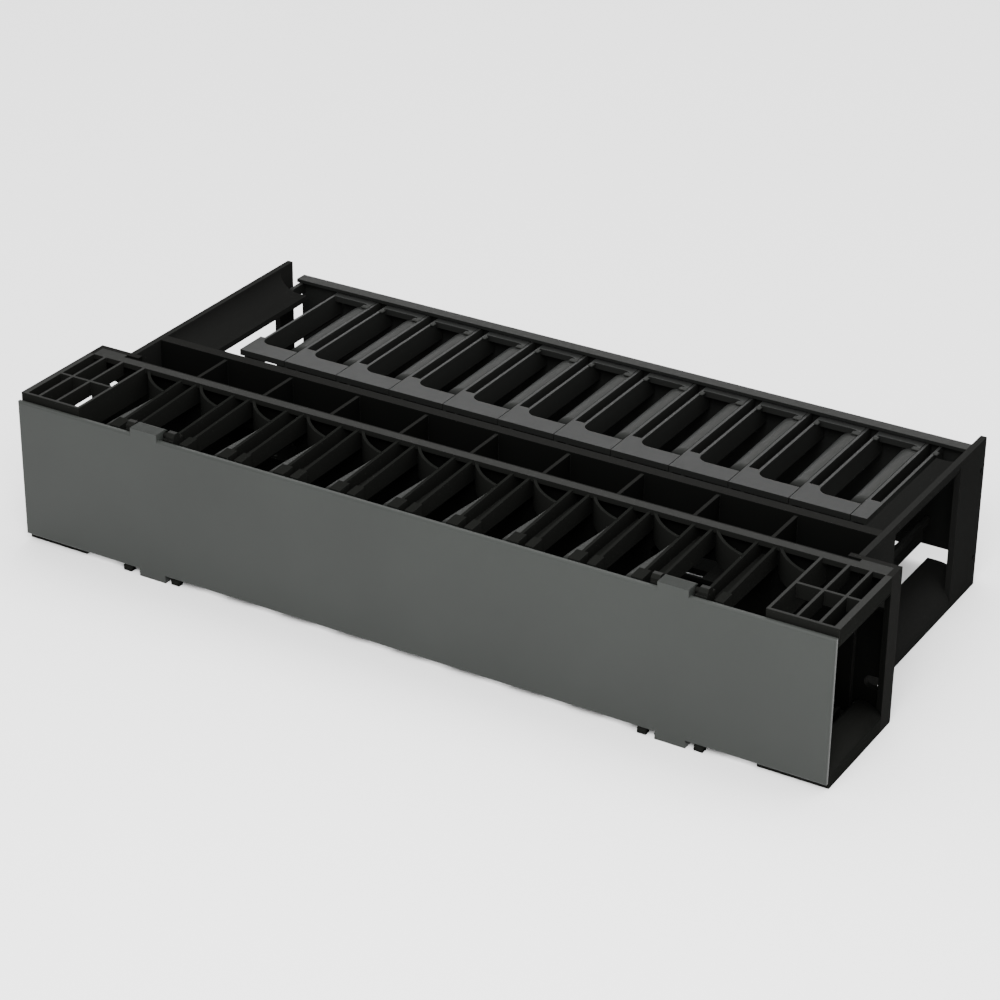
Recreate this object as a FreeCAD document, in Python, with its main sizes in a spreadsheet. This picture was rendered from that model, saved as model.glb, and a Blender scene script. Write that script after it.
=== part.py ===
import FreeCAD, Part
import math
import os

# Horizontal cable manager for a 19-inch rack, two units high, with a finger
# duct in front of the rack rails and a smaller one behind them. Each duct is
# closed by a cover that swings up on its top edge. The mouldings repeat when
# the object is turned half a turn about the depth axis.
#
# Millimetres. The origin is the middle of the rack hole pattern, on the rear
# face of the ears. +X points to the right seen from the front, +Y into the
# rack, +Z up.

V = FreeCAD.Vector
doc = FreeCAD.newDocument("CableManager")
sheet = doc.addObject("Spreadsheet::Sheet", "Sizes")

SIZES = (
    # rack interface
    ("panel_width", 482.6, "width over the ears"),
    ("panel_height", 88.1, "two rack units less the clearance"),
    ("hole_inset", 8.75, "rack hole columns, inwards from the ears' outer edges"),
    ("hole_spacing_z", 44.45, "rack holes used, centre to centre"),
    ("slot_width", 6.8, "height of an ear slot"),
    ("slot_length", 10.3, "length of an ear slot"),
    # walls
    ("web", 3.0, "main walls"),
    ("ear_wall", 3.5, "thickness of the ears; the main wall stands in front of them"),
    ("ear_lap", 7.5, "ears overlap the main wall at each end"),
    ("rib", 1.6, "thin walls of the fingers"),
    ("band_depth", 12.0, "rim above the main wall, front edge to the ears' rear face"),
    # front duct
    ("front_reach", 59.0, "length of the front fingers"),
    ("front_finger", 11.6, "width of a front finger"),
    ("finger_depth", 16.0, "height of every finger and exit lip"),
    ("head_length", 9.0, "thickened tip of a front finger"),
    ("head_gap", 4.2, "opening between the two halves of a tip"),
    ("head_left", 2.7, "how far a tip stands out on the left of its finger"),
    ("head_right", 1.0, "how far it stands out on the right"),
    ("root_drop", 1.3, "top of a finger below the rim, at its root"),
    ("tip_drop", 3.7, "top of a finger below the rim, at its tip"),
    ("guide_radius", 39.0, "radius of the curved rib at a slot's root"),
    ("guide_x", 12.35, "centre of that curve, right of the finger's left side"),
    ("guide_y", 10.3, "centre of that curve, behind the ears' rear face"),
    ("end_block", 38.3, "width of the block at each end of the front duct"),
    ("block_rib_gap", 11.0, "spacing of the ribs in an end block"),
    ("block_rim", 3.5, "thickness of an end block's outer rim"),
    # front cover
    ("cover_margin", 3.85, "front cover, short of the panel's top and bottom"),
    ("cover_wall", 2.5, "thickness of both covers"),
    ("front_gap", 1.6, "gap between the front cover and the finger tips"),
    ("cover_gap", 0.4, "gap between the rear cover's lip and the finger tips"),
    ("cover_corner", 1.2, "rounding of the front cover's outer edges"),
    # front hinge
    ("bar_radius", 1.5, "hinge bar between two fingers"),
    ("bar_drop", 2.95, "hinge bar below the top of the fingers"),
    ("bar_inset", 5.0, "hinge bar behind the inner face of the cover"),
    ("running", 0.08, "radial clearance of every hinge"),
    ("clip_wall", 1.35, "wall of a clip round its bar"),
    ("clip_width", 17.0, "width of a clip"),
    ("knuckle_width", 4.8, "width of the rounded rib ends beside a clip"),
    # spine
    ("cell_depth", 26.0, "front to back, inside the spine"),
    ("cell_pitch", 43.4, "spacing of the spine's cross ribs"),
    ("cell_rib", 2.0, "thickness of a cross rib"),
    ("rear_band", 6.5, "depth of the spine's rear wall at its rims"),
    ("pass_width", 45.0, "width of a cable passage"),
    ("pass_height", 44.0, "height of a cable passage through the front wall"),
    ("pass_rear_height", 20.0, "height of the same passage through the rear wall"),
    ("pass_offset", 130.2, "cable passages from the middle"),
    # side plates
    ("plate_inset", 19.8, "side plates, inwards from the ears' outer edges"),
    ("plate_wall", 3.5, "thickness of a side plate and its exit lips"),
    ("plate_depth", 153.0, "side plates, behind the ears"),
    ("lip_reach", 22.0, "exit lip, from the plate's outer face inwards"),
    ("lip_back", 13.5, "exit lip stops short of the plate's rear edge"),
    ("window_start", 37.0, "side window, behind the ears"),
    ("right_post", 33.0, "right side plate behind its window"),
    ("left_post", 14.5, "left side plate behind its window"),
    # rear duct
    ("rear_height", 60.0, "rear duct, top to bottom of its fingers"),
    ("pad_start", 60.5, "front edge of the pads, behind the ears"),
    ("pad_length", 20.5, "pads, front to back"),
    ("slot_front", 13.5, "pads, front edge to the start of a slot"),
    ("rear_overhang", 5.0, "tips of the rear fingers, behind the side plates"),
    ("rear_finger", 9.0, "width of a rear finger"),
    ("skin", 3.5, "thickness of the pads and the rear rail"),
    ("rail", 7.0, "depth of the rail at the finger tips"),
    ("slot_corner", 6.0, "rounding of a slot's corners"),
    ("joint_gap", 0.4, "slit between two finger brackets"),
    ("foot_width", 24.0, "foot of a finger bracket"),
    ("foot_height", 14.0, "height of that foot"),
    ("foot_wall", 3.0, "thickness of that foot"),
    ("arm_height", 10.0, "height of the bracket's arm"),
    # rear cover
    ("rear_cover_side", 1.0, "gap between the rear cover and a side plate"),
    ("rear_cover_step", 2.5, "rear cover behind the finger tips"),
    ("lip_depth", 5.0, "lip of the rear cover over the finger tips"),
    ("lip_wall", 2.0, "thickness of that lip"),
    ("pin_radius", 1.5, "pivot pins of the rear cover"),
    ("pin_drop", 4.0, "rear pivot below the top of the rear fingers"),
    ("pin_inset", 4.0, "rear pivot in front of the side plates' rear edge"),
    ("pivot_boss", 3.0, "radius of the boss round a pivot"),
    ("arm_wall", 2.7, "thickness of the rear cover's pivot arms"),
)


def fill_sheet():
    for row, (alias, value, note) in enumerate(SIZES, start=1):
        sheet.set("A%d" % row, note)
        sheet.set("B%d" % row, "%.12g" % value)
        sheet.setAlias("B%d" % row, alias)
    doc.recompute()


fill_sheet()

SLOTS = 12
FINGERS = range(-5, 6)
CELL_RIBS = range(-4, 5)
REAR_FINGERS = range(-6, 6)
TURN = FreeCAD.Rotation(V(0, 1, 0), 180)
ALONG_X = FreeCAD.Rotation(V(0, 1, 0), 90)
ALONG_Y = FreeCAD.Rotation(V(1, 0, 0), -90)
UPRIGHT = FreeCAD.Rotation()

ALIASES = sorted((alias for alias, value, note in SIZES), key=len, reverse=True)

# Places that several pieces share, as formulas of the sheet's values.
TOP = "(panel_height / 2)"
HALF = "(panel_width / 2)"
BAND_FRONT = "(-band_depth)"
WALL_FRONT = "(-ear_wall - web)"
TIP = "(-band_depth - front_reach)"
COVER_BACK = "(-band_depth - front_reach - front_gap)"
COVER_FRONT = "(-band_depth - front_reach - front_gap - cover_wall)"
BLOCK_INNER = "(panel_width / 2 - end_block)"
BAR_Y = "(-band_depth - front_reach - front_gap + bar_inset)"
BAR_Z = "(panel_height / 2 - bar_drop)"
KNUCKLE = "(bar_radius + running + clip_wall)"
CELL_BACK = "(cell_depth - ear_wall)"
SPINE_BACK = "(cell_depth - ear_wall + web)"
RIM_BACK = "(cell_depth - ear_wall + rear_band)"
PITCH = "((panel_width - 2 * end_block + front_finger) / %d)" % SLOTS
PLATE_OUT = "(panel_width / 2 - plate_inset)"
PLATE_IN = "(panel_width / 2 - plate_inset - plate_wall)"
LIP_IN = "(panel_width / 2 - plate_inset - lip_reach)"
REAR_TOP = "(rear_height / 2)"
REAR_TIP = "(plate_depth + rear_overhang)"
REAR_COVER_IN = "(plate_depth + rear_overhang + rear_cover_step)"
REAR_COVER_HALF = "(panel_width / 2 - plate_inset - plate_wall - rear_cover_side)"
PIN_Y = "(plate_depth - pin_inset)"
PIN_Z = "(rear_height / 2 - pin_drop)"


def bind(obj, prop, formula):
    """Tie a property to a formula written with the sheet's aliases."""
    words = []
    word = ""
    for letter in formula + " ":
        if letter.isalnum() or letter == "_":
            word += letter
            continue
        if word:
            words.append("Sizes." + word if word in ALIASES else word)
            word = ""
        words.append(letter)
    obj.setExpression(prop, "".join(words).strip())


def place(obj, x, y, z, rotation=UPRIGHT, turned=False):
    """Put an object at a formula's place, or half a turn about Y from it."""
    obj.Placement = FreeCAD.Placement(V(), TURN.multiply(rotation) if turned else rotation)
    sign = "-" if turned else ""
    bind(obj, "Placement.Base.x", "%s(%s)" % (sign, x))
    bind(obj, "Placement.Base.y", "(%s)" % y)
    bind(obj, "Placement.Base.z", "%s(%s)" % (sign, z))
    return obj


def box(name, x, y, z, turned=False):
    """A block from three pairs of low and high formulas."""
    obj = doc.addObject("Part::Box", name)
    for prop, (low, high) in zip(("Length", "Width", "Height"), (x, y, z)):
        bind(obj, prop, "(%s) - (%s)" % (high, low))
    return place(obj, x[0], y[0], z[0], turned=turned)


def cylinder(name, radius, length, x, y, z, rotation, angle=360, turned=False):
    obj = doc.addObject("Part::Cylinder", name)
    bind(obj, "Radius", radius)
    bind(obj, "Height", length)
    obj.Angle = angle
    return place(obj, x, y, z, rotation, turned)


def octagon(name, inradius, length, x, y, z, rotation):
    """An eight-sided bar with flats above, below and beside its axis."""
    obj = doc.addObject("Part::Prism", name)
    obj.Polygon = 8
    half_side = 180 / obj.Polygon
    bind(obj, "Circumradius", "(%s) / %.9f" % (inradius, math.cos(math.radians(half_side))))
    bind(obj, "Height", length)
    return place(obj, x, y, z, rotation.multiply(FreeCAD.Rotation(V(0, 0, 1), half_side)))


def fuse(name, pieces):
    if len(pieces) == 1:
        return pieces[0]
    obj = doc.addObject("Part::MultiFuse", name)
    obj.Shapes = pieces
    obj.Refine = True
    return obj


def cut(name, base, tool):
    obj = doc.addObject("Part::Cut", name)
    obj.Base = base
    obj.Tool = tool
    obj.Refine = True
    return obj


def mirror(name, source, normal=V(1, 0, 0)):
    """The same piece on the other side of the middle."""
    obj = doc.addObject("Part::Mirroring", name)
    obj.Source = source
    obj.Normal = normal
    return obj


def copy(name, source, x="0", y="0", z="0", turned=False):
    obj = doc.addObject("Part::Compound", name)
    obj.Links = [source]
    return place(obj, x, y, z, turned=turned)


def trough(name, width, start, end, top):
    """The outer form of a finger, a channel with a blunted bottom, and its hollow."""
    half = "%s / 2" % width
    axis = "%s - finger_depth + %s" % (top, half)
    outer = fuse(name + "_outer", [
        box(name + "_sides", ("-" + half, half), (start, end), (axis, top)),
        octagon(name + "_bottom", half, "(%s) - (%s)" % (end, start), "0", start, axis, ALONG_Y),
    ])
    inner = box(name + "_hollow", ("rib - " + half, half + " - rib"), (start, end),
                (axis, top + " + rib"))
    return outer, inner


def above_the_slope(name):
    """What is cut off a front finger so that its top falls towards the tip."""
    fall = float(sheet.get("tip_drop")) - float(sheet.get("root_drop"))
    reach = float(sheet.get("front_reach"))
    tilt = FreeCAD.Rotation(V(1, 0, 0), math.degrees(math.atan2(fall, reach)))
    obj = doc.addObject("Part::Box", name)
    bind(obj, "Length", PITCH)
    bind(obj, "Width", "front_reach + rib")
    bind(obj, "Height", "finger_depth")
    low = TOP + " - tip_drop - rib * (tip_drop - root_drop) / front_reach"
    return place(obj, "-%s / 2" % PITCH, TIP + " - rib", low, tilt)


def front_finger():
    """One hollow finger of the front duct, with the two halves of its tip."""
    outer, hollow = trough("finger", "front_finger", TIP, WALL_FRONT, TOP)
    half = "front_finger / 2"
    head = (TIP, TIP + " + head_length")
    height = (TOP + " - finger_depth + front_finger / 2", TOP)
    heads = [
        box("head_left_half", ("-%s - head_left" % half, "-head_gap / 2"), head, height),
        box("head_right_half", ("head_gap / 2", half + " + head_right"), head, height),
    ]
    finger = fuse("finger_whole", [cut("finger_hollowed", outer, hollow)] + heads)
    return cut("front_finger_form", finger, above_the_slope("finger_slope"))


def slot_guide():
    """The curved rib that turns a slot's root towards the finger on its right."""
    start, sweep = 205.6, 47
    height = "finger_depth - root_drop"
    spin = FreeCAD.Rotation(V(0, 0, 1), start)
    base = TOP + " - finger_depth"
    outer = cylinder("guide_outer", "guide_radius + rib", height, "guide_x", "guide_y", base,
                     spin, sweep)
    inner = cylinder("guide_inner", "guide_radius", height, "guide_x", "guide_y", base, spin, sweep)
    return cut("slot_guide_form", outer, inner)


def exit_lip(name, inner_x, outer_x, start, end, wall, inner_wall):
    """A curved lip: flat near the middle, then a quarter round up to its outer edge."""
    centre = "(%s) - finger_depth" % outer_x
    length = "(%s) - (%s)" % (end, start)
    bottom = TOP + " - finger_depth"
    outer = fuse(name + "_outer", [
        box(name + "_flat", (inner_x, centre), (start, end), (bottom, TOP)),
        cylinder(name + "_bend", "finger_depth", length, centre, start, TOP, ALONG_Y, 90),
    ])
    inner = fuse(name + "_inner", [
        box(name + "_hollow", ("(%s) + %s" % (inner_x, inner_wall), centre),
            (start, end), ("%s + %s" % (bottom, wall), TOP)),
        cylinder(name + "_hollow_bend", "finger_depth - %s" % wall, length, centre,
                 start, TOP, ALONG_Y, 90),
    ])
    return cut(name + "_form", outer, inner)


def end_block():
    """The block at the right end of the front duct: a rim stiffened by ribs."""
    middle = "(%s + %s) / 2" % (TIP, BAND_FRONT)
    depth = (TOP + " - finger_depth / 2", TOP)
    across = (BLOCK_INNER, HALF)
    pieces = [
        box("block_inner", (BLOCK_INNER, BLOCK_INNER + " + rib"), (TIP, WALL_FRONT),
            (TOP + " - finger_depth", TOP)),
        box("block_outer", (HALF + " - block_rim", HALF), (TIP, BAND_FRONT), depth),
        box("block_cross", across, (middle, middle + " + rib"), depth),
        box("block_front", across, (TIP, TIP + " + rib"), depth),
    ]
    for number in (1, 2):
        low = "%s - %d * (block_rib_gap + rib / 2)" % (HALF, number)
        pieces.append(box("block_rib_%d" % number, (low, low + " + rib"), (TIP, BAND_FRONT), depth))
    return fuse("end_block_form", pieces)


def side_lip():
    """The lip above the right side window."""
    return exit_lip("side", LIP_IN, PLATE_OUT, RIM_BACK, "plate_depth - lip_back", "plate_wall",
                    "0")


def hinge_bar(name, side):
    """The bar that holds a clip of the front cover, with a knuckle at each end."""
    low = "4 * %s + head_gap / 2" % PITCH
    high = "5 * %s - head_gap / 2" % PITCH
    pieces = []
    for part, make, radius, start, end in (
            ("bar", cylinder, "bar_radius", low, high),
            ("near", octagon, KNUCKLE, low, low + " + knuckle_width"),
            ("far", octagon, KNUCKLE, high + " - knuckle_width", high)):
        at = start if side > 0 else "-(%s)" % end
        pieces.append(make("%s_%s" % (name, part), radius, "(%s) - (%s)" % (end, start),
                           at, BAR_Y, BAR_Z, ALONG_X))
    return pieces


def front_comb():
    """The comb above the front duct: its rim, fingers, slot guides, blocks and bars."""
    finger = front_finger()
    guide = slot_guide()
    block = end_block()
    inner_ear = (PLATE_OUT, HALF + " - web")
    rim_height = (TOP + " - web", TOP)
    ear_top = box("ear_top", inner_ear, (BAND_FRONT, "-ear_wall"), rim_height)
    pieces = [
        box("comb_rim", ("-" + PLATE_OUT, PLATE_OUT), (BAND_FRONT, WALL_FRONT), rim_height),
        ear_top,
        mirror("ear_top_left", ear_top),
        block,
        mirror("end_block_left", block),
        copy("slot_guide_last", guide, BLOCK_INNER),
    ] + hinge_bar("hinge_left", -1) + hinge_bar("hinge_right", 1)
    for k in FINGERS:
        pieces.append(copy("front_finger_%d" % (k + 6), finger, "%d * %s" % (k, PITCH)))
        pieces.append(copy("slot_guide_%d" % (k + 6), guide,
                           "%d * %s - front_finger / 2" % (k, PITCH)))
    return fuse("front_comb", pieces)


def spine():
    """The two walls, the rear rims, the cross ribs between the walls, and the ears."""
    full = ("-" + TOP, TOP)
    between = ("-" + PLATE_IN, PLATE_IN)
    pieces = [
        box("main_wall", ("-" + PLATE_OUT, PLATE_OUT), (WALL_FRONT, "-ear_wall"),
            ("root_drop - " + TOP, TOP + " - root_drop")),
        box("rear_wall", between, (CELL_BACK, SPINE_BACK), full),
    ]
    for turned in (False, True):
        end = "left" if turned else "right"
        pieces += [
            box("rear_rim_" + end, between, (CELL_BACK, RIM_BACK), (TOP + " - web", TOP), turned),
            box("ear_" + end, (PLATE_OUT + " - ear_lap", HALF), ("-ear_wall", "0"), full, turned),
            box("ear_rim_" + end, (HALF + " - web", HALF), (BAND_FRONT, "0"), full, turned),
        ]
    for k in CELL_RIBS:
        centre = "%d * cell_pitch" % k
        pieces.append(box("cell_rib_%d" % (k + 5),
                          (centre + " - cell_rib / 2", centre + " + cell_rib / 2"),
                          ("-ear_wall - web / 2", CELL_BACK + " + web / 2"),
                          ("root_drop - " + TOP, TOP + " - root_drop")))
    return cut("spine", fuse("spine_solid", pieces), wall_openings())


def side_wing(end, post):
    """A side plate with its window, and an exit lip above and below it; made on the right."""
    lip = exit_lip("side_" + end, LIP_IN, PLATE_OUT, RIM_BACK, "plate_depth - lip_back",
                   "plate_wall", "0")
    full = ("-" + TOP, TOP)
    name = "wing_%s_" % end
    solid = fuse(name + "solid", [
        box(name + "front", (PLATE_IN, PLATE_OUT), ("0", "window_start"), full),
        box(name + "post", (PLATE_IN, PLATE_OUT), ("plate_depth - " + post, "plate_depth"), full),
        lip,
        mirror(name + "low_lip", lip, V(0, 0, 1)),
    ])
    pivots = fuse(name + "pivots", [
        cylinder(name + level, "pin_radius + running", "plate_wall + 2 * rib", PLATE_IN + " - rib",
                 PIN_Y, sign + PIN_Z, ALONG_X)
        for level, sign in (("low", "-"), ("high", ""))
    ])
    return cut(name + "form", solid, pivots)


def rounded_opening(name, x, y, z, corner, turned=False):
    """A box with four rounded corners, running through along Y."""
    low_x, high_x = x
    low_z, high_z = z
    length = "(%s) - (%s)" % (y[1], y[0])
    pieces = [
        box(name + "_wide", x, y, ("%s + %s" % (low_z, corner), "%s - %s" % (high_z, corner)),
            turned),
        box(name + "_tall", ("%s + %s" % (low_x, corner), "%s - %s" % (high_x, corner)), y, z,
            turned),
    ]
    for number in range(4):
        cx = "%s + %s" % (low_x, corner) if number % 2 else "%s - %s" % (high_x, corner)
        cz = "%s + %s" % (low_z, corner) if number // 2 else "%s - %s" % (high_z, corner)
        pieces.append(cylinder("%s_corner_%d" % (name, number), corner, length, cx, y[0], cz,
                               ALONG_Y, turned=turned))
    return pieces


def wall_openings():
    """What is cut out of the two walls: the cable passages and the ear slots."""
    tools = []
    for turned in (False, True):
        end = "left" if turned else "right"
        x = ("(pass_offset - pass_width / 2)", "(pass_offset + pass_width / 2)")
        tools += rounded_opening("passage_" + end, x, (WALL_FRONT + " - rib", CELL_BACK + " - rib"),
                                 ("(-pass_height / 2)", "(pass_height / 2)"), "slot_corner",
                                 turned)
        tools += rounded_opening("rear_passage_" + end, x,
                                 (CELL_BACK + " - rib", SPINE_BACK + " + rib"),
                                 ("(-pass_rear_height / 2)", "(pass_rear_height / 2)"),
                                 "slot_corner", turned)
        for up in (-1, 1):
            tools += ear_slot("slot_%s_%d" % (end, up + 1), "%d * hole_spacing_z / 2" % up, turned)
    return fuse("wall_openings", tools)


def ear_slot(name, z, turned):
    """A slot in an ear for a rack screw."""
    middle = HALF + " - hole_inset"
    reach = "(slot_length - slot_width) / 2"
    tools = [
        box(name, ("%s - %s" % (middle, reach), "%s + %s" % (middle, reach)),
            ("-ear_wall - rib", "rib"),
            ("%s - slot_width / 2" % z, "%s + slot_width / 2" % z), turned),
    ]
    for end, sign in (("inner", "-"), ("outer", "+")):
        tools.append(cylinder("%s_%s" % (name, end), "slot_width / 2", "ear_wall + 2 * rib",
                              "%s %s %s" % (middle, sign, reach), "-ear_wall - rib", z, ALONG_Y,
                              turned=turned))
    return tools


def bracket(name, left, right, slot, lone_rib=False):
    """A rear finger with the pad in front of it and the rail behind its slot.

    The finger's own middle is at x = 0; left and right are its limits in x."""
    bottom = REAR_TOP + " - skin"
    outer, inner = trough(name, "rear_finger", "pad_start", REAR_TIP, REAR_TOP)
    body = [
        box(name + "_pad", (left, right), ("pad_start", "pad_start + pad_length"),
            (bottom, REAR_TOP)),
        outer,
    ]
    if slot:
        body.append(box(name + "_plate", ("0", right), ("pad_start", REAR_TIP), (bottom, REAR_TOP)))
    whole = fuse(name + "_whole", body)
    pocket = cut(name + "_pocket", inner,
                 box(name + "_roof", ("-rear_finger", "rear_finger"),
                     ("pad_start", "pad_start + pad_length"), (bottom, REAR_TOP + " + rib")))
    tools = [pocket]
    if slot:
        start = "pad_start + slot_front"
        end = REAR_TIP + " - rail"
        side = "rear_finger / 2"
        height = (REAR_TOP + " - skin - rib", REAR_TOP + " + rib")
        tall = "skin + 2 * rib"
        tools += [
            box(name + "_slot_a", (side + " + slot_corner", right + " + rib"),
                (start, end + " - slot_corner"), height),
            box(name + "_slot_b", (side, right + " - slot_corner"),
                (start + " + slot_corner", end), height),
            cylinder(name + "_slot_c", "slot_corner", tall, side + " + slot_corner",
                     start + " + slot_corner", height[0], UPRIGHT),
            cylinder(name + "_slot_d", "slot_corner", tall, right + " - slot_corner",
                     end + " - slot_corner", height[0], UPRIGHT),
        ]
    if lone_rib:
        tools.append(box(name + "_missing_rib", ("-rear_finger", "0"),
                         ("pad_start - rib", REAR_TIP + " + rib"),
                         (REAR_TOP + " - finger_depth - rib", REAR_TOP + " + rib")))
    hollowed = cut(name + "_hollowed", whole, fuse(name + "_tools", tools))
    arm_top = REAR_TOP + " - skin - rib"
    arm_half = "rear_finger / 2"
    foot_low = arm_top + " - foot_height"
    carrier = [
        box(name + "_arm", ("0" if lone_rib else "-" + arm_half, arm_half),
            (SPINE_BACK, "pad_start + rib"), (arm_top + " - arm_height", arm_top)),
        box(name + "_foot", ("-foot_width / 2", "foot_width / 2"),
            (SPINE_BACK, SPINE_BACK + " + foot_wall"), (foot_low, arm_top)),
    ]
    return fuse(name + "_form", [hollowed] + carrier)


def rear_brackets():
    """Twelve brackets on top and the same twelve, half a turn on, below."""
    side = "rear_finger / 2"
    next_left = PITCH + " - rear_finger / 2 - joint_gap"
    first = bracket("first", "0", next_left, True, lone_rib=True)
    middle = bracket("middle", "-" + side, next_left, True)
    last = bracket("last", "-" + side, side, False)
    nodes = []
    for turned in (False, True):
        level = "lower" if turned else "upper"
        for number, k in enumerate(REAR_FINGERS, start=1):
            form = first if number == 1 else last if number == len(REAR_FINGERS) else middle
            name = "rear_finger_%s_%02d" % (level, number)
            nodes.append(copy(name, form, "(%d + 1 / 2) * %s" % (k, PITCH), turned=turned))
    return nodes


def clip(name, side, turned):
    """A clip of the front cover: an open ring round the bar, and its arm."""
    middle = "%d * 4.5 * %s - (head_left - head_right) / 2" % (-side if turned else side, PITCH)
    low = "%s - clip_width / 2" % middle
    outer = fuse(name + "_outer", [
        cylinder(name + "_ring", KNUCKLE, "clip_width", low, BAR_Y, BAR_Z, ALONG_X, turned=turned),
        box(name + "_arm", (low, low + " + clip_width"), (COVER_FRONT, BAR_Y),
            ("%s - %s" % (BAR_Z, KNUCKLE), "%s + %s" % (BAR_Z, KNUCKLE)), turned),
    ])
    mouth = "bar_radius + running"
    inner = fuse(name + "_inner", [
        cylinder(name + "_bore", mouth, "clip_width + 2 * rib", low + " - rib", BAR_Y, BAR_Z,
                 ALONG_X, turned=turned),
        box(name + "_mouth", (low + " - rib", low + " + clip_width + rib"),
            (BAR_Y, BAR_Y + " + 2 * " + KNUCKLE),
            ("%s - (%s)" % (BAR_Z, mouth), "%s + %s" % (BAR_Z, mouth)), turned),
    ])
    return cut(name, outer, inner)


def front_cover():
    """The plain cover with rounded edges and two clips on each long edge."""
    plate = box("cover_plate", ("-" + HALF, HALF), (COVER_FRONT, COVER_BACK),
                ("cover_margin - " + TOP, TOP + " - cover_margin"))
    doc.recompute()
    rounded = doc.addObject("Part::Fillet", "cover_rounded")
    rounded.Base = plate
    radius = float(sheet.get("cover_corner"))
    front = plate.Shape.BoundBox.YMin
    edges = []
    for number, edge in enumerate(plate.Shape.Edges, start=1):
        if edge.BoundBox.YMax - front < radius / 100:
            edges.append((number, radius, radius))
    rounded.Edges = edges
    clips = []
    for side in (-1, 1):
        for turned in (False, True):
            name = "clip_%s_%s" % ("left" if side < 0 else "right", "low" if turned else "high")
            clips.append(clip(name, side, turned))
    return fuse("front_cover", [rounded] + clips)


def rear_cover():
    """The rear cover, with a lip over the finger tips and a pivot at each end."""
    half = REAR_COVER_HALF
    top = REAR_TOP + " + cover_gap + lip_wall"
    pieces = [
        box("rear_plate", ("-" + half, half), (REAR_COVER_IN, REAR_COVER_IN + " + cover_wall"),
            ("-(%s)" % top, top)),
        box("rear_lip", ("-" + half, half), (REAR_COVER_IN + " - lip_depth", REAR_COVER_IN),
            (REAR_TOP + " + cover_gap", top)),
    ]
    for side in (-1, 1):
        end = "left" if side < 0 else "right"
        low = "%d * %s - %s" % (side, half, "arm_wall" if side > 0 else "0")
        pin_low = "-(%s + plate_wall * 3 / 4)" % half if side < 0 else "%s - rib" % half
        pieces += [
            cylinder("boss_" + end, "pivot_boss", "arm_wall", low, PIN_Y, PIN_Z, ALONG_X),
            box("pivot_arm_" + end, (low, low + " + arm_wall"), (PIN_Y, REAR_COVER_IN + " + rib"),
                (PIN_Z + " - pivot_boss", PIN_Z + " + pivot_boss")),
            cylinder("pin_" + end, "pin_radius", "plate_wall * 3 / 4 + rib", pin_low, PIN_Y,
                     PIN_Z, ALONG_X),
        ]
    return fuse("rear_cover", pieces)


def check(nodes):
    for obj in doc.Objects:
        if "Invalid" in obj.State or "Error" in obj.State:
            raise RuntimeError("failed: %s %s" % (obj.Name, obj.State))
    for node in nodes:
        if node.Shape.isNull() or not node.Shape.isValid():
            raise RuntimeError("bad shape: " + node.Label)
        if len(node.Shape.Solids) != 1:
            raise RuntimeError("%s is %d solids" % (node.Label, len(node.Shape.Solids)))


def main():
    comb = front_comb()
    left = side_wing("left", "left_post")
    nodes = [
        spine(),
        copy("front_comb_upper", comb),
        copy("front_comb_lower", comb, turned=True),
        copy("side_wing_right", side_wing("right", "right_post")),
        mirror("side_wing_left", left),
        front_cover(),
        rear_cover(),
    ] + rear_brackets()
    doc.recompute()
    check(nodes)
    os.makedirs("parts", exist_ok=True)
    for node in nodes:
        node.Shape.exportStep("parts/%s.step" % node.Label)
        bounds = node.Shape.BoundBox
        print("%-24s %9.0f mm3  x %.1f..%.1f  y %.1f..%.1f  z %.1f..%.1f" % (
            node.Label, node.Shape.Volume, bounds.XMin, bounds.XMax, bounds.YMin, bounds.YMax,
            bounds.ZMin, bounds.ZMax))


main()
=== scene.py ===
"""Looks of a two-unit horizontal cable manager: moulded black plastic, two covers.

Metres, in the same frame as the solids: X to the right seen from the front,
Y back into the rack, Z up, the origin in the middle of the rack slots.
"""

from functools import reduce

import bpy
import numpy as np
from mathutils import Matrix, Vector


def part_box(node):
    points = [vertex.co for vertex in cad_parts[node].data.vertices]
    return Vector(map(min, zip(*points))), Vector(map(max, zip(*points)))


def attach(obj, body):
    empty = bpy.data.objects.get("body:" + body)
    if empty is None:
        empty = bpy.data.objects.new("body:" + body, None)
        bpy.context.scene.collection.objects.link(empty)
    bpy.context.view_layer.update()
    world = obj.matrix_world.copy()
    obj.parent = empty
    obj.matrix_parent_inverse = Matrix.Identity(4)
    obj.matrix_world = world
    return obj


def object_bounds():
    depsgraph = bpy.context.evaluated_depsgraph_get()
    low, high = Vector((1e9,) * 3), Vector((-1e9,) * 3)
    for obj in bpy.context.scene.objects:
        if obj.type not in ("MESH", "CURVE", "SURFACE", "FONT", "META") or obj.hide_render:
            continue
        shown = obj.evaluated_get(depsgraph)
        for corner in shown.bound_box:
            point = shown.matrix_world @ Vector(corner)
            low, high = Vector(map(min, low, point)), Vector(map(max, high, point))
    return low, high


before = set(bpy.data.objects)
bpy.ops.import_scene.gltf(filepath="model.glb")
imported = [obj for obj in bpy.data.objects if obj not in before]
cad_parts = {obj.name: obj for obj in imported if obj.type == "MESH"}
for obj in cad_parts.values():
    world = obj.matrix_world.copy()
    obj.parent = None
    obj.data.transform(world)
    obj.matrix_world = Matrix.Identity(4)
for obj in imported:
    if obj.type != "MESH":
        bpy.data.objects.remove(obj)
CAD_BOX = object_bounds()

bl_info = {
    "name": "Horizontal cable manager",
    "version": (1, 0, 0),
    "blender": (4, 5, 0),
    "location": "View3D > Sidebar > Cable manager",
    "description": "Builds the covers, finishes and stage of a rack cable manager",
    "category": "Object",
}

MM = 0.001

COMBS = ["front_comb_upper", "front_comb_lower"]
WINGS = ["side_wing_left", "side_wing_right"]
BRACKETS = sorted(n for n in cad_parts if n.startswith("rear_finger_"))
TURN = {"upper": 1.0, "lower": -1.0}

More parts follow.
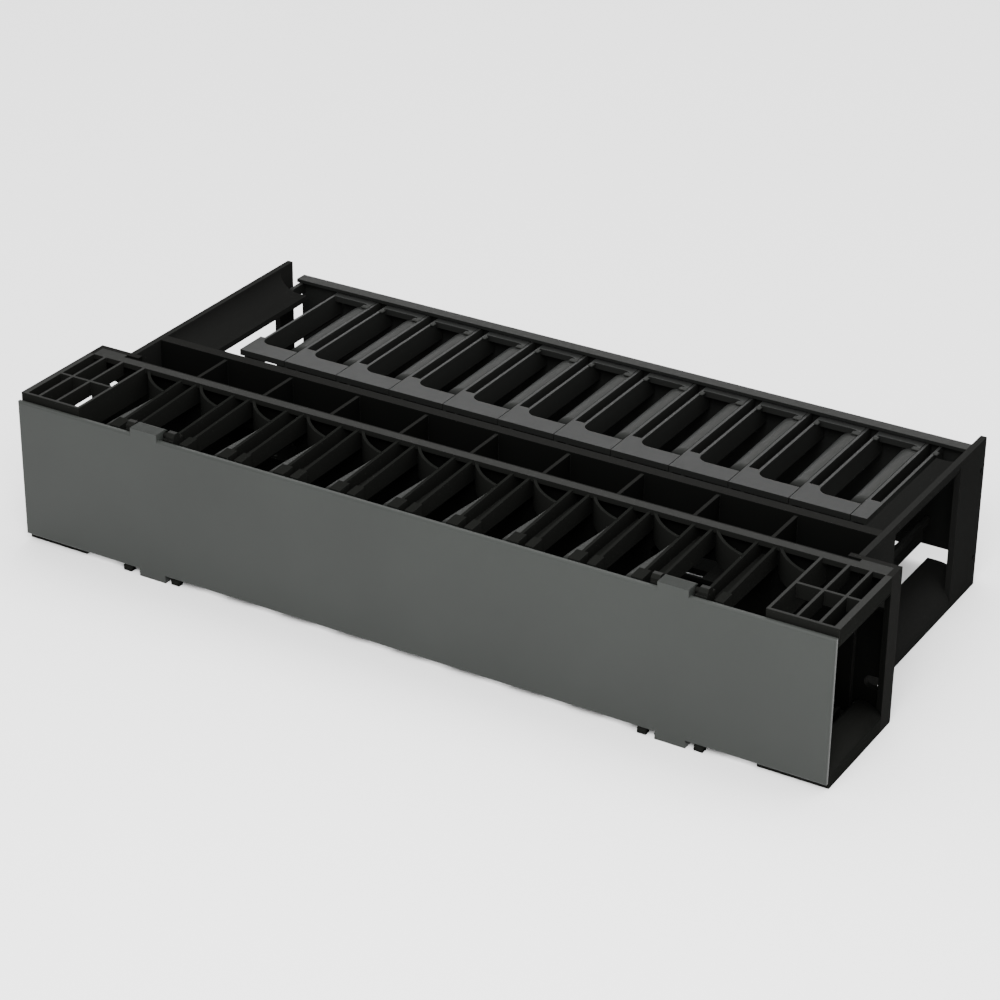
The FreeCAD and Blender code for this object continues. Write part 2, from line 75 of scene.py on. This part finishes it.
COMB_BOX = np.array(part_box("front_comb_upper"))
HALF_WIDTH = COMB_BOX[1, 0]
TOP = COMB_BOX[1, 2]
TIP = COMB_BOX[0, 1]
FINGER_DEPTH = TOP - COMB_BOX[0, 2]
DUCT_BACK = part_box("spine")[0][1]
FINGER_HALF = 5.8 * MM
FINGER_ROOT_DROP = 1.45 * MM
FINGER_FALL = 2.4 * MM
# Front finger k stands at k times the pitch, from -LAST_FINGER to LAST_FINGER
LAST_FINGER = 5
# A clip of the opening cover passes on the left of these fingers
FINGERS_BESIDE_CLIPS = (-4, 5)

BRACKET_BOX = np.array(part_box("rear_finger_upper_06"))
NEXT_BRACKET_BOX = np.array(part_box("rear_finger_upper_07"))
PITCH = NEXT_BRACKET_BOX[0, 0] - BRACKET_BOX[0, 0]
REAR_TOP = BRACKET_BOX[1, 2]
REAR_FINGER_HALF = 4.5 * MM
REAR_SLOT = (81.0 * MM, 147.6 * MM)
REAR_SLOT_RIM = 1.1 * MM
REAR_SLOTS = 11

# Width of the border in which the painted light on outer faces fades in
PAINTED_LIGHT_FADE = 0.4 * MM


def distance(name, description, value):
    """A length of a property group, in metres."""
    return bpy.props.FloatProperty(name=name, description=description, default=value,
                                   subtype="DISTANCE", unit="LENGTH")


def tint(name, description, value):
    """A linear colour of a property group."""
    return bpy.props.FloatVectorProperty(name=name, description=description, default=value,
                                         subtype="COLOR", size=3)


class LipSizes(bpy.types.PropertyGroup):
    """Sizes of the curved lips at the ends of the front duct."""

    reach: distance("Reach", "Width of a lip, from the outer face inwards", 13.5 * MM)
    rise: distance("Rise", "Height of a lip's curve", 8.0 * MM)
    wall: distance("Wall", "Thickness of a lip", 1.6 * MM)


class FlareSizes(bpy.types.PropertyGroup):
    """Sizes of the flares on the front fingers and in the rear slots."""

    width: distance("Width", "How far a front flare stands out at the tip", 7.4 * MM)
    drop: distance("Drop", "How far a front flare falls at the tip", 3.8 * MM)
    length: distance("Length", "Length over which a front flare grows", 38.0 * MM)
    tip_gap: distance("Tip gap", "From the finger's tip to the flare's", 1.5 * MM)
    rear_width: distance("Rear width", "How far a rear flare stands into its slot", 10.0 * MM)
    rear_drop: distance("Rear drop", "How far a rear flare falls", 4.6 * MM)
    rear_sink: distance("Rear sink", "Top of a rear flare below the slot's rim", 0.6 * MM)
    overlap: distance("Overlap", "How far a flare is sunk into the rib that carries it", 0.4 * MM)


class TipPadSizes(bpy.types.PropertyGroup):
    """Sizes of the low pads at the tips of the rear fingers."""

    wide: distance("Wide", "Width of the left pad", 5.2 * MM)
    narrow: distance("Narrow", "Width of the right pad", 3.0 * MM)
    length: distance("Length", "Front to back of a pad", 4.2 * MM)
    height: distance("Height", "Height of a pad's dome", 0.8 * MM)
    wide_shift: distance("Left shift", "Middle of the left pad past the finger's side", 2.0 * MM)
    narrow_shift: distance("Right shift", "Middle of the right pad past the finger's side", 0.4 * MM)
    setback: distance("Setback", "Middle of a pad in front of the slot's rear end", 0.4 * MM)
    sink: distance("Sink", "How far a pad is sunk into its finger", 0.1 * MM)


class PegSizes(bpy.types.PropertyGroup):
    """Sizes of the pegs beside the cover's lower tongues."""

    width: distance("Width", "Width of a peg", 4.6 * MM)
    reach: distance("Reach", "How far a peg reaches past the finger tips", 3.9 * MM)
    corner: distance("Corner", "Radius of a peg's front lower corner", 1.2 * MM)
    ledge: distance("Ledge", "Depth of a peg's ledge below the middle of the part", 40.5 * MM)
    root: distance("Root", "Depth of a peg's root below the middle of the part", 38.5 * MM)
    root_back: distance("Root back", "Back of a peg's root behind the finger tips", 0.6 * MM)
    root_front: distance("Root front", "Front of a peg's root before the finger tips", 1.4 * MM)
    inner_shift: distance("Inner shift", "Inner peg outside the last finger but one", 2.2 * MM)
    outer_shift: distance("Outer shift", "Outer peg inside the last finger", 1.2 * MM)


class FinishValues(bpy.types.PropertyGroup):
    """Colours and surface grain of the plastics."""

    body_colour: tint("Comb colour", "The front combs", (0.0056, 0.0058, 0.0053))
    cover_colour: tint("Cover colour", "The front cover", (0.0190, 0.0208, 0.0192))
    bracket_colour: tint("Bracket colour", "The rear finger brackets", (0.0082, 0.0085, 0.0080))
    # The walls and cells darker than the combs they are moulded with: painted shade
    shaded_cell_colour: tint("Shaded cell colour", "The walls between the ducts, darkened as painted shade", (0.0024, 0.0025, 0.0023))
    worn_colour: tint("Worn colour", "Worn edges", (0.0145, 0.0150, 0.0142))
    # Lighter colour on the rims, standing for the light falling on them: painted light
    rim_painted_light: tint("Rim painted light", "Painted light on the rims above and below", (0.0170, 0.0172, 0.0165))
    # Lighter colour on the tops and outer ends of the walls and ears: painted light
    wall_painted_light: tint("Wall painted light", "Outer edges of the walls and ears", (0.0080, 0.0080, 0.0076))
    rear_cover_colour: tint("Rear cover colour", "The rear cover", (0.0068, 0.0071, 0.0067))
    # Darker colour on the clips' tops and bottoms, holding back the light that falls on them: painted
    # shade
    clip_painted_shade: tint("Clip painted shade", "Tops and bottoms of the clips", (0.0150, 0.0162, 0.0151))
    # Flares and tip pads lighter than the combs, standing for the light they catch: painted highlight
    flare_highlight_colour: tint("Flare colour", "Flares and tip pads, lightened as painted highlight", (0.0140, 0.0145, 0.0137))
    # Lighter colour on the pads' top faces, standing for the light falling on them: painted light
    pad_painted_light: tint("Pad painted light", "Outer faces of the rear pads", (0.0092, 0.0096, 0.0092))
    wing_colour: tint("Wing colour", "The side wings", (0.0060, 0.0061, 0.0058))
    # Lighter colour on the wings' top and bottom edges: painted light
    wing_painted_light: tint("Wing painted light", "Outer edges of the side wings", (0.0100, 0.0101, 0.0097))
    grain: distance("Grain", "Size of the fine texture of the mould", 0.7 * MM)
    edge_round: distance("Edge softness", "How far the light rounds a moulded edge", 0.45 * MM)


class StageValues(bpy.types.PropertyGroup):
    """Camera and light."""

    lens: bpy.props.FloatProperty(
        name="Lens", description="Focal length on a 36 mm wide frame", default=107.8, unit="CAMERA")
    air: bpy.props.FloatProperty(
        name="Air", description="Strength of the white surroundings", default=2.1)
    floor_colour: tint("Floor colour", "The studio floor", (0.86, 0.86, 0.86))
    floor_gap: distance("Floor gap", "The floor below the part's lowest point", 0.2 * MM)


def link(obj):
    bpy.context.scene.collection.objects.link(obj)
    return obj


def mesh_object(name, points, faces):
    """A smooth shaded object from an array of points and rows of point numbers."""
    mesh = bpy.data.meshes.new(name)
    mesh.from_pydata(points.reshape(-1, 3).tolist(), [], [list(map(int, f)) for f in faces])
    mesh.update()
    mesh.polygons.foreach_set("use_smooth", np.full(len(mesh.polygons), True))
    return link(bpy.data.objects.new(name, mesh))


def joined(name, pieces):
    """Several meshes' points and faces in one object, made from (points, faces) pairs."""
    points = np.concatenate([part.reshape(-1, 3) for part, faces in pieces])
    starts = np.cumsum([0] + [part.reshape(-1, 3).shape[0] for part, faces in pieces])
    faces = [np.asarray(face) + start for (part, own), start in zip(pieces, starts) for face in own]
    return mesh_object(name, points, faces)


def loop_faces(rows, columns):
    """Faces of a closed solid through rows of loops, with one face at each end."""
    number = np.arange(rows * columns).reshape(rows, columns)
    beside = np.roll(number, -1, axis=1)
    quads = np.stack([number[:-1], beside[:-1], beside[1:], number[1:]], axis=-1).reshape(-1, 4)
    return [*quads, number[0][::-1], number[-1]]


class Nodes:
    """Short hand for a material's node tree."""

    def __init__(self, name):
        self.material = bpy.data.materials.new(name)
        self.material.use_nodes = True
        self.tree = self.material.node_tree
        self.shader = self.tree.nodes["Principled BSDF"]
        self.place = self.add("ShaderNodeTexCoord").outputs["Object"]

    def add(self, kind, **values):
        node = self.tree.nodes.new(kind)
        for key, value in values.items():
            if hasattr(node, key):
                setattr(node, key, value)
            else:
                node.inputs[key].default_value = value
        return node

    def join(self, output, socket):
        self.tree.links.new(output, socket)

    def noise(self, size, detail=2.0, roughness=0.5):
        node = self.add("ShaderNodeTexNoise", Scale=1.0 / size, Detail=detail, Roughness=roughness)
        self.join(self.place, node.inputs["Vector"])
        return node.outputs["Fac"]

    def spread(self, output, low, high, start=0.0, end=1.0):
        node = self.add("ShaderNodeMapRange")
        for key, value in (("From Min", start), ("From Max", end), ("To Min", low), ("To Max", high)):
            node.inputs[key].default_value = value
        self.join(output, node.inputs["Value"])
        return node.outputs["Result"]

    def mix(self, share, first, second):
        """Two colours, or two colour outputs, mixed by a share."""
        node = self.add("ShaderNodeMix", data_type="RGBA")
        self.join(share, node.inputs["Factor"])
        for value, key in ((first, "A"), (second, "B")):
            socket = next(s for s in node.inputs if s.name == key and s.type == "RGBA")
            if isinstance(value, bpy.types.NodeSocket):
                self.join(value, socket)
            else:
                socket.default_value = (*value, 1.0)
        return next(s for s in node.outputs if s.type == "RGBA")


def scaled(colour, share):
    return tuple(channel * share for channel in colour)


def calculated(n, operation, *outputs):
    """The result of a math node on one or two outputs."""
    node = n.add("ShaderNodeMath", operation=operation)
    for output, socket in zip(outputs, node.inputs):
        n.join(output, socket)
    return node.outputs["Value"]


def worn_edges(n, speck, radius):
    """Share of wear: high where the softened normal leaves the surface's own, broken up by specks.

    Returns the share and the softened normal."""
    rounded = n.add("ShaderNodeBevel", samples=4, Radius=radius)
    surface = n.add("ShaderNodeNewGeometry")
    turn = n.add("ShaderNodeVectorMath", operation="DOT_PRODUCT")
    n.join(rounded.outputs["Normal"], turn.inputs[0])
    n.join(surface.outputs["Normal"], turn.inputs[1])
    edge = n.spread(turn.outputs["Value"], 1.0, 0.0, start=0.80, end=0.995)
    broken = n.spread(speck, 0.15, 0.6, start=0.4, end=0.6)
    return calculated(n, "MULTIPLY", edge, broken), rounded.outputs["Normal"]


def painted_light_on_outer_faces(n, speck, limits):
    """Share of painted light and shade: faces that look out along an axis, beyond its limit on either
    side.
    """
    normal = n.add("ShaderNodeSeparateXYZ")
    n.join(n.add("ShaderNodeNewGeometry").outputs["Normal"], normal.inputs["Vector"])
    place = n.add("ShaderNodeSeparateXYZ")
    n.join(n.place, place.inputs["Vector"])
    shares = []
    for axis, limit in limits.items():
        facing = n.spread(calculated(n, "ABSOLUTE", normal.outputs[axis]), 0.0, 1.0,
                          start=0.6, end=0.98)
        outer = n.spread(calculated(n, "ABSOLUTE", place.outputs[axis]), 0.0, 1.0,
                         start=limit - PAINTED_LIGHT_FADE, end=limit)
        shares.append(calculated(n, "MULTIPLY", facing, outer))
    share = reduce(lambda first, second: calculated(n, "MAXIMUM", first, second), shares)
    return calculated(n, "MULTIPLY", share, n.spread(speck, 0.92, 1.0, start=0.35, end=0.65))


def moulded_plastic(name, finish, colour, painted_face_colour, limits, roughness, gloss, polish):
    """Black plastic: broad flow shading, fine grain, worn edges, polished outer faces with painted
    light and shade in their colour.
    """
    n = Nodes(name)
    flow = n.noise(90 * MM, detail=3.0)
    speck = n.noise(4 * MM, detail=4.0, roughness=0.6)
    base = n.mix(n.spread(flow, 0.0, 1.0, start=0.35, end=0.65),
                 scaled(colour, 0.95), scaled(colour, 1.06))
    wear, rounded = worn_edges(n, speck, finish.edge_round)
    base = n.mix(wear, base, finish.worn_colour)
    # Outer faces turned along an axis take the painted light and shade colour in place of the base
    painted_face_light = painted_light_on_outer_faces(n, speck, limits)
    n.join(n.mix(painted_face_light, base, painted_face_colour), n.shader.inputs["Base Color"])
    n.join(n.spread(flow, roughness - 0.02, roughness + 0.03, start=0.3, end=0.7),
           n.shader.inputs["Roughness"])
    n.shader.inputs["IOR"].default_value = 1.5
    n.join(n.spread(painted_face_light, gloss, polish), n.shader.inputs["Specular IOR Level"])

    bump = n.add("ShaderNodeBump", Strength=0.22, Distance=0.05 * MM)
    n.join(n.noise(finish.grain, detail=2.0, roughness=0.7), bump.inputs["Height"])
    n.join(rounded, bump.inputs["Normal"])
    n.join(bump.outputs["Normal"], n.shader.inputs["Normal"])
    return n.material


def give(obj, material):
    """Every material slot of a piece gets this material."""
    if not obj.material_slots:
        obj.data.materials.append(material)
    for place in obj.material_slots:
        place.material = material


def comb_plastic():
    """The material that the combs already have."""
    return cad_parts["front_comb_upper"].material_slots[0].material


def add_moulding(name, parts, sign, material):
    """One fixed piece from several parts, turned half round the depth axis where sign is -1."""
    piece = joined(name, [(loops * (sign, 1.0, sign), faces) for loops, faces in parts])
    give(piece, material)
    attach(piece, "base")


class CABLE_OT_spine(bpy.types.Operator):
    """Gives the walls, ears and cells their moulded finish, darkened as painted shade, with painted
    light on the outer faces
    """

    bl_idname = "cable.spine"
    bl_label = "Walls and cells"

    def execute(self, context):
        finish = context.scene.cable_finish
        give(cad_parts["spine"], moulded_plastic(
            # Painted shade in the base colour, painted light on the outer faces
            "spine_black", finish, finish.shaded_cell_colour, finish.wall_painted_light,
            limits={"X": 220 * MM, "Z": 36 * MM}, roughness=0.46, gloss=0.0, polish=0.0))
        return {"FINISHED"}


class CABLE_OT_combs(bpy.types.Operator):
    """Gives the two front combs their moulded finish, with painted light along the rims"""

    bl_idname = "cable.combs"
    bl_label = "Front combs"

    def execute(self, context):
        finish = context.scene.cable_finish
        # The rims' lighter colour is painted light
        material = moulded_plastic("comb_black", finish, finish.body_colour, finish.rim_painted_light,
                                   limits={"Z": 44 * MM}, roughness=0.34, gloss=0.0, polish=0.004)
        for name in COMBS:
            give(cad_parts[name], material)
        return {"FINISHED"}


def end_lip(sizes, side):
    """One upper lip: across X and Z a quarter ellipse, and the same less the wall, carried along Y.

    With t from 0 to a quarter turn: x = inner + reach sin t, z = low + rise (1 - cos t)."""
    turn = np.linspace(0.0, np.pi / 2, 17)
    inner = HALF_WIDTH - sizes.reach
    low = TOP - FINGER_DEPTH
    outside = np.stack([inner + sizes.reach * np.sin(turn), low + sizes.rise * (1 - np.cos(turn))])
    shrunk = np.stack([inner + (sizes.reach - sizes.wall) * np.sin(turn),
                       low + sizes.wall + (sizes.rise - sizes.wall) * (1 - np.cos(turn))])
    section = np.concatenate([outside, shrunk[:, ::-1]], axis=1)
    loops = np.stack([np.stack([side * section[0], np.full(section.shape[1], y), section[1]], axis=-1)
                      for y in (TIP, DUCT_BACK)])
    faces = loop_faces(*loops.shape[:2])
    return loops, [face[::-1] for face in faces] if side > 0 else faces


class CABLE_OT_end_lips(bpy.types.Operator):
    """Adds the curved lips over which cables leave the ends of the front duct"""

    bl_idname = "cable.end_lips"
    bl_label = "End lips"

    def execute(self, context):
        lips = [end_lip(context.scene.cable_lips, side) for side in (-1, 1)]
        for level, sign in TURN.items():
            add_moulding("end_lips_" + level, lips, sign, comb_plastic())
        return {"FINISHED"}


def flare(side, y, top, grown, width, drop, overlap):
    """A flare on the left of a rib whose side is at x = side, along the given y and top heights.

    With t from 0 to a quarter turn, its outer face is x = side - grown width sin t and
    z = top - grown drop (1 - cos t). A flat face just inside the rib closes it."""
    y, top, grown = y[:, None], np.broadcast_to(top, y.shape)[:, None], grown[:, None]
    t = np.linspace(0.0, np.pi / 2, 11)[None, :]
    root = np.full_like(y, side + overlap)
    x = np.concatenate([side - grown * width * np.sin(t), root, root], axis=1)
    z = np.concatenate([top - grown * drop * (1 - np.cos(t)), top - grown * drop, top], axis=1)
    loops = np.stack([x, np.broadcast_to(y, x.shape), z], axis=-1)
    return loops, loop_faces(*loops.shape[:2])


def front_flare(sizes, centre):
    """A flare on a front finger, growing towards the tip as 0.02 + 0.98 (3u^2 - 2u^3)."""
    u = np.linspace(0.0, 1.0, 18)
    y = TIP + sizes.tip_gap + sizes.length * (1 - u)
    top = TOP - FINGER_ROOT_DROP - FINGER_FALL * (DUCT_BACK - y) / (DUCT_BACK - TIP)
    return flare(centre - FINGER_HALF, y, top, 0.02 + 0.98 * (3 * u ** 2 - 2 * u ** 3),
                 sizes.width, sizes.drop, sizes.overlap)


def rear_flare(sizes, centre):
    """A flare inside a rear slot, shrinking from the tip to the pad as 1 - 0.15 u."""
    u = np.linspace(0.0, 1.0, 18)
    y = REAR_SLOT[1] + (REAR_SLOT[0] - REAR_SLOT[1]) * u
    return flare(centre - REAR_FINGER_HALF - REAR_SLOT_RIM, y, REAR_TOP - sizes.rear_sink,
                 1.0 - 0.15 * u, sizes.rear_width, sizes.rear_drop, sizes.overlap)


def tip_pad(centre, size):
    """A low rounded pad: a dome over a rounded rectangle, with p from a quarter turn to nearly 0.

    x and y are half the size times sin p and the root of the turn's cosine and sine; z rises
    to the size's height as cos p."""
    p = np.linspace(np.pi / 2, 0.12, 7)[:, None]
    turn = np.linspace(0.0, 2 * np.pi, 17)[None, :-1]
    squared = [np.sign(wave) * np.abs(wave) ** 0.5 for wave in (np.cos(turn), np.sin(turn))]
    flat = np.ones_like(turn)
    loops = np.stack([size[0] / 2 * np.sin(p) * squared[0], size[1] / 2 * np.sin(p) * squared[1],
                      size[2] * np.cos(p) * flat], axis=-1)
    return loops + np.array(centre), loop_faces(*loops.shape[:2])


def tip_pads(sizes, centre):
    """The wide pad on the left and the narrow one on the right of a rear finger's tip."""
    y = REAR_SLOT[1] - sizes.setback
    sunk = REAR_TOP - sizes.sink
    left = centre - REAR_FINGER_HALF - sizes.wide_shift
    right = centre + REAR_FINGER_HALF + sizes.narrow_shift
    return [tip_pad((left, y, sunk), (sizes.wide, sizes.length, sizes.height)),
            tip_pad((right, y, sunk), (sizes.narrow, sizes.length, sizes.height))]


class CABLE_OT_flares(bpy.types.Operator):
    """Adds the rounded flares that guide cables past the fingers, and the rear fingers' tip pads"""

    bl_idname = "cable.flares"
    bl_label = "Finger flares"

    def execute(self, context):
        finish = context.scene.cable_finish
        # The flares and tip pads are lightened as painted highlight
        material = moulded_plastic("flare_painted_highlight", finish, finish.flare_highlight_colour, finish.flare_highlight_colour,
                                   limits={"Z": 20 * MM}, roughness=0.36, gloss=0.0, polish=0.04)
        sizes = context.scene.cable_flares
        front = [front_flare(sizes, k * PITCH)
                 for k in range(-LAST_FINGER, LAST_FINGER + 1) if k not in FINGERS_BESIDE_CLIPS]
        # The finger on the right of each rear slot
        rear_fingers = [(k - REAR_SLOTS / 2 + 1) * PITCH for k in range(REAR_SLOTS)]
        rear = [rear_flare(sizes, centre) for centre in rear_fingers]
        pads = [pad for centre in rear_fingers
                for pad in tip_pads(context.scene.cable_tip_pads, centre)]
        for level, sign in TURN.items():
            add_moulding("finger_flares_" + level, front, sign, material)
            add_moulding("rear_flares_" + level, rear, sign, material)
            add_moulding("rear_tip_pads_" + level, pads, sign, material)
        return {"FINISHED"}


def peg(sizes, centre):
    """A peg below the cover: an L in Y and Z round the cover's lower edge, carried along X.

    Its front lower corner is a quarter circle."""
    turn = np.linspace(0.0, np.pi / 2, 6)
    front = TIP - sizes.reach
    back = TIP + sizes.root_back
    behind_cover = TIP - sizes.root_front
    corner = np.stack([front + sizes.corner * (1 - np.cos(turn)),
                       -TOP + sizes.corner * (1 - np.sin(turn))], axis=-1)
    inner = np.array([(back, -TOP), (back, -sizes.root), (behind_cover, -sizes.root),
                      (behind_cover, -sizes.ledge), (front, -sizes.ledge)])
    section = np.concatenate([corner, inner])
    loops = np.stack([np.insert(section, 0, centre + shift, axis=1)
                      for shift in (-sizes.width / 2, sizes.width / 2)])
    return loops, loop_faces(*loops.shape[:2])


class CABLE_OT_pegs(bpy.types.Operator):
    """Adds the pegs on either side of the cover's lower tongues"""

    bl_idname = "cable.pegs"
    bl_label = "Cover pegs"

    def execute(self, context):
        sizes = context.scene.cable_pegs
        inner = (LAST_FINGER - 1) * PITCH + sizes.inner_shift
        outer = LAST_FINGER * PITCH - sizes.outer_shift
        pegs = [peg(sizes, side * place)
                for side in (-1, 1) for place in (inner, outer)]
        add_moulding("cover_pegs", pegs, 1.0, comb_plastic())
        return {"FINISHED"}


class CABLE_OT_wings(bpy.types.Operator):
    """Gives the side plates and their exit lips a dull moulded finish, with painted light on the
    outer edges
    """

    bl_idname = "cable.wings"
    bl_label = "Side wings"

    def execute(self, context):
        finish = context.scene.cable_finish
        material = moulded_plastic("wing_black", finish, finish.wing_colour, finish.wing_painted_light,
                                   limits={"Z": 44 * MM}, roughness=0.55, gloss=0.0, polish=0.0)
        for name in WINGS:
            give(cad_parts[name], material)
        return {"FINISHED"}


class CABLE_OT_brackets(bpy.types.Operator):
    """Gives the rear finger brackets their smoother finish, palest on the pads, where light is
    painted
    """

    bl_idname = "cable.brackets"
    bl_label = "Rear finger brackets"

    def execute(self, context):
        finish = context.scene.cable_finish
        material = moulded_plastic("bracket_black", finish, finish.bracket_colour, finish.pad_painted_light,
                                   limits={"Z": REAR_TOP}, roughness=0.30, gloss=0.0, polish=0.12)
        for name in BRACKETS:
            give(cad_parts[name], material)
        return {"FINISHED"}


class CABLE_OT_covers(bpy.types.Operator):
    """Gives the front and the rear cover their satin finish, with painted shade on the front cover's
    clips and painted light on the rear cover's rims
    """

    bl_idname = "cable.covers"
    bl_label = "Covers"

    def execute(self, context):
        finish = context.scene.cable_finish
        # The clips' tops and bottoms take painted shade; the rear cover's rims take painted light
        give(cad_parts["front_cover"], moulded_plastic(
            "cover_satin", finish, finish.cover_colour, finish.clip_painted_shade,
            limits={"Z": 42 * MM}, roughness=0.40, gloss=0.12, polish=0.03))
        give(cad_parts["rear_cover"], moulded_plastic(
            "rear_cover_satin", finish, finish.rear_cover_colour, finish.rim_painted_light,
            limits={"Z": 27 * MM}, roughness=0.42, gloss=0.0, polish=0.03))
        return {"FINISHED"}


def area_light(name, place, target, size, power):
    data = bpy.data.lights.new(name, "AREA")
    data.shape = "RECTANGLE"
    data.size, data.size_y = size
    data.energy = power
    obj = link(bpy.data.objects.new(name, data))
    obj.location = place
    obj.rotation_euler = (Vector(target) - Vector(place)).to_track_quat("-Z", "Y").to_euler()


def studio_floor(colour, height):
    """A wide plane whose back edge rises in a quarter circle, as a paper roll does."""
    half_width = 9.0
    front = -4.0
    back = 5.0
    radius = 1.5
    wall = 4.0
    turn = np.linspace(0.0, np.pi / 2, 24)
    y = np.concatenate([[front], back + radius * np.sin(turn), [back + radius]])
    z = np.concatenate([[0.0], radius * (1 - np.cos(turn)), [radius + wall]]) + height
    x = np.array([-half_width, half_width])
    points = np.stack(np.broadcast_arrays(x[None, :], y[:, None], z[:, None]), axis=-1)
    rows = np.arange(len(y) - 1)
    faces = np.stack([2 * rows, 2 * rows + 1, 2 * rows + 3, 2 * rows + 2], axis=-1)
    floor = mesh_object("studio_floor", points, faces)
    n = Nodes("studio_paper")
    paper = n.noise(600 * MM, detail=2.0)
    n.join(n.mix(n.spread(paper, 0.0, 1.0, start=0.3, end=0.7),
                 scaled(colour, 0.985), scaled(colour, 1.01)),
           n.shader.inputs["Base Color"])
    n.shader.inputs["Roughness"].default_value = 0.9
    give(floor, n.material)


def photo_camera(lens):
    """The camera that was fitted to the photo, from its place and the picture's three directions."""
    camera = bpy.data.cameras.new("photo_camera")
    camera.sensor_width = 36.0
    camera.lens = lens
    camera.clip_start = 0.05
    obj = link(bpy.data.objects.new("photo_camera", camera))
    right = Vector((0.85956, 0.51094, 0.01005))
    down = Vector((0.24489, -0.39456, -0.88564))
    ahead = Vector((-0.44854, 0.76372, -0.46427))
    turn = Matrix((right, -down, -ahead)).transposed().to_4x4()
    obj.matrix_world = Matrix.Translation((0.7144, -1.1899, 0.7413)) @ turn
    return obj


class CABLE_OT_stage(bpy.types.Operator):
    """Adds the floor, the soft lights and the camera"""

    bl_idname = "cable.stage"
    bl_label = "Stage"

    def execute(self, context):
        values = context.scene.cable_stage
        lowest = CAD_BOX[0][2]
        studio_floor(values.floor_colour, lowest - values.floor_gap)
        world = bpy.data.worlds.new("studio_air")
        world.use_nodes = True
        air = world.node_tree.nodes["Background"]
        air.inputs["Color"].default_value = (1.0, 1.0, 1.0, 1.0)
        air.inputs["Strength"].default_value = values.air
        context.scene.world = world
        area_light("key_left", place=(-0.6, -2.8, 2.6), target=(0.2, 0, 0), size=(0.9, 0.9),
                   power=30)
        area_light("key_right", place=(0.42, -0.85, 0.85), target=(0.14, -0.08, 0),
                   size=(0.6, 0.6), power=24)
        area_light("top_soft", place=(0.1, 0.9, 2.6), target=(0, 0, 0), size=(2.4, 1.4), power=62)
        context.scene.camera = photo_camera(values.lens)
        return {"FINISHED"}


class CABLE_PT_panel(bpy.types.Panel):
    """Lists the steps and their values in the sidebar"""

    bl_idname = "CABLE_PT_panel"
    bl_label = "Cable manager"
    bl_space_type = "VIEW_3D"
    bl_region_type = "UI"
    bl_category = "Cable manager"

    def draw(self, context):
        for kind in STEPS:
            self.layout.operator(kind.bl_idname)
        for group, kind in GROUPS.items():
            values = getattr(context.scene, group)
            for key in kind.__annotations__:
                self.layout.prop(values, key)


STEPS = (CABLE_OT_spine, CABLE_OT_combs, CABLE_OT_end_lips, CABLE_OT_flares, CABLE_OT_pegs,
         CABLE_OT_wings, CABLE_OT_brackets, CABLE_OT_covers, CABLE_OT_stage)
GROUPS = {"cable_lips": LipSizes, "cable_flares": FlareSizes, "cable_tip_pads": TipPadSizes,
          "cable_pegs": PegSizes, "cable_finish": FinishValues, "cable_stage": StageValues}


def register():
    for kind in (*GROUPS.values(), *STEPS, CABLE_PT_panel):
        bpy.utils.register_class(kind)
    for group, kind in GROUPS.items():
        setattr(bpy.types.Scene, group, bpy.props.PointerProperty(type=kind))


def unregister():
    for group in GROUPS:
        delattr(bpy.types.Scene, group)
    for kind in (CABLE_PT_panel, *reversed(STEPS), *GROUPS.values()):
        bpy.utils.unregister_class(kind)


def main():
    register()
    bpy.ops.cable.spine()
    bpy.ops.cable.combs()
    bpy.ops.cable.end_lips()
    bpy.ops.cable.flares()
    bpy.ops.cable.pegs()
    bpy.ops.cable.wings()
    bpy.ops.cable.brackets()
    bpy.ops.cable.covers()
    bpy.ops.cable.stage()


if __name__ == "__main__":
    main()
